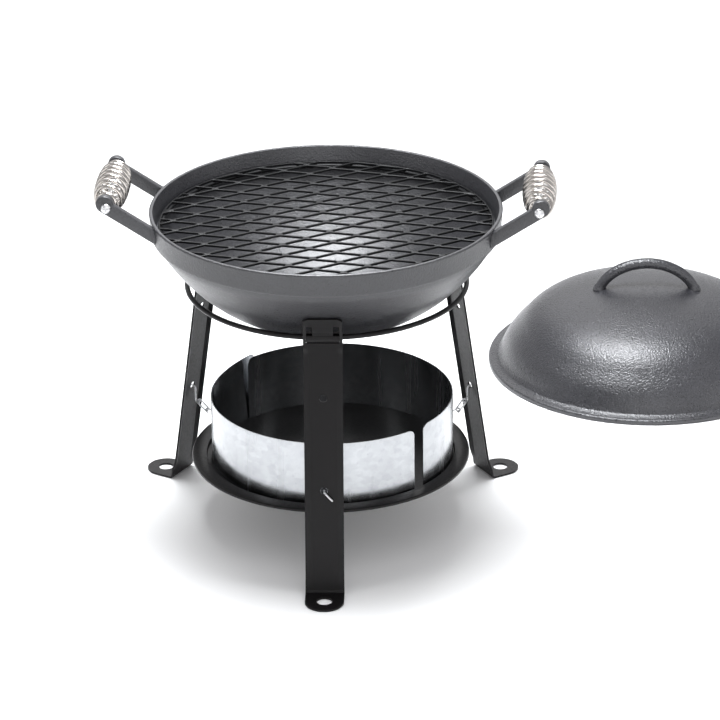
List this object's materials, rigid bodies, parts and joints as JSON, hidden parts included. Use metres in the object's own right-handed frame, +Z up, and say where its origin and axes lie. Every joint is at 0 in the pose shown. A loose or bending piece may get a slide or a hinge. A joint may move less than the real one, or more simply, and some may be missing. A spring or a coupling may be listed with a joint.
{
  "type": "portable tabletop charcoal grill",
  "caption": "Portable cast bowl grill with expanded-metal grate, coil side grips, ringed folding legs, hung ash tray with wind guard, and a domed lid beside it.",
  "frame": {"origin": "on the ground, under the middle of the bounding box of the grill and its lid", "axes": "+X to the viewer's right along the line of the two side grips, +Y away from the viewer to the back, +Z up"},
  "size_m": [0.7782, 0.8121, 0.3879],
  "materials": {
    "cast_iron": "dark oiled casting, satin",
    "lid_iron": "fine pebbled casting, satin",
    "black_steel": "warm black, satin",
    "grate_steel": "black, satin",
    "galvanised_sheet": "galvanised with soft spangle",
    "bright_fastener": "bright zinc plate",
    "stainless_coil": "bright stainless wire",
    "zinc_chain": "zinc plated wire"
  },
  "bodies": {
    "stand_ring": {"stand_ring": "black_steel"},
    "leg_front": {"leg_front": "black_steel", "leg_hook_front": "zinc_chain"},
    "leg_right": {"leg_right": "black_steel", "leg_hook_right": "zinc_chain"},
    "leg_left": {"leg_left": "black_steel", "leg_hook_left": "zinc_chain"},
    "ash_tray": {"ash_tray": "black_steel", "chain_link_front": "zinc_chain", "chain_link_right": "zinc_chain", "chain_link_left": "zinc_chain", "tray_hook_front": "zinc_chain", "tray_hook_right": "zinc_chain", "tray_hook_left": "zinc_chain"},
    "wind_guard_rear": {"wind_guard_rear": "galvanised_sheet"},
    "wind_guard_front": {"wind_guard_front": "galvanised_sheet"},
    "bowl": {"bowl": "cast_iron", "handle_bolt_left": "bright_fastener", "handle_bolt_right": "bright_fastener", "handle_nut_left": "bright_fastener", "handle_nut_right": "bright_fastener"},
    "grip_left": {"grip_left": "stainless_coil"},
    "grip_right": {"grip_right": "stainless_coil"},
    "grate": {"grate_frame": "grate_steel", "grate_mesh": "grate_steel"},
    "lid": {"lid": "lid_iron"}
  },
  "joints": [
    {"name": "leg_front_fold", "type": "hinge", "parent": "stand_ring", "child": "leg_front", "pos_m": [-0.1504, -0.32035, 0.267], "axis": [1, 0, 0], "range_deg": [0, 6], "deforming": ["leg_hook_front", "chain_link_front", "tray_hook_front"]},
    {"name": "leg_right_fold", "type": "hinge", "parent": "stand_ring", "child": "leg_right", "pos_m": [-0.02422, -0.1018, 0.267], "axis": [-0.5, 0.866, 0], "range_deg": [0, 6], "deforming": ["leg_hook_right", "chain_link_right", "tray_hook_right"]},
    {"name": "leg_left_fold", "type": "hinge", "parent": "stand_ring", "child": "leg_left", "pos_m": [-0.27658, -0.1018, 0.267], "axis": [-0.5, -0.866, 0], "range_deg": [0, 6], "deforming": ["leg_hook_left", "chain_link_left", "tray_hook_left"]},
    {"name": "tray_lift", "type": "slide", "parent": "stand_ring", "child": "ash_tray", "axis": [0, 0, 1], "range_m": [0, 0.0965], "deforming": ["leg_hook_front", "leg_hook_right", "leg_hook_left", "chain_link_front", "chain_link_right", "chain_link_left", "tray_hook_front", "tray_hook_right", "tray_hook_left"]},
    {"name": "guard_lift", "type": "slide", "parent": "ash_tray", "child": "wind_guard_rear", "axis": [0, 0, 1], "range_m": [0, 0.08]},
    {"name": "guard_turn", "type": "hinge", "parent": "wind_guard_rear", "child": "wind_guard_front", "pos_m": [-0.1464, -0.17465, 0.104], "axis": [0, 0, 1], "range_deg": [-60, 6]},
    {"name": "bowl_lift", "type": "slide", "parent": "stand_ring", "child": "bowl", "axis": [0, 0, 1], "range_m": [0, 0.12]},
    {"name": "grip_left_spin", "type": "hinge", "parent": "bowl", "child": "grip_left", "pos_m": [-0.371, -0.1681, 0.37], "axis": [0.0297, 0.9996, 0], "continuous": true},
    {"name": "grip_right_spin", "type": "hinge", "parent": "bowl", "child": "grip_right", "pos_m": [0.0702, -0.1812, 0.37], "axis": [0.0297, 0.9996, 0], "continuous": true},
    {"name": "grate_lift", "type": "slide", "parent": "bowl", "child": "grate", "axis": [0, 0, 1], "range_m": [0, 0.12]},
    {"name": "lid_lift", "type": "slide", "parent": "stand_ring", "child": "lid", "axis": [0, 0, 1], "range_m": [0, 0.25]}
  ]
}
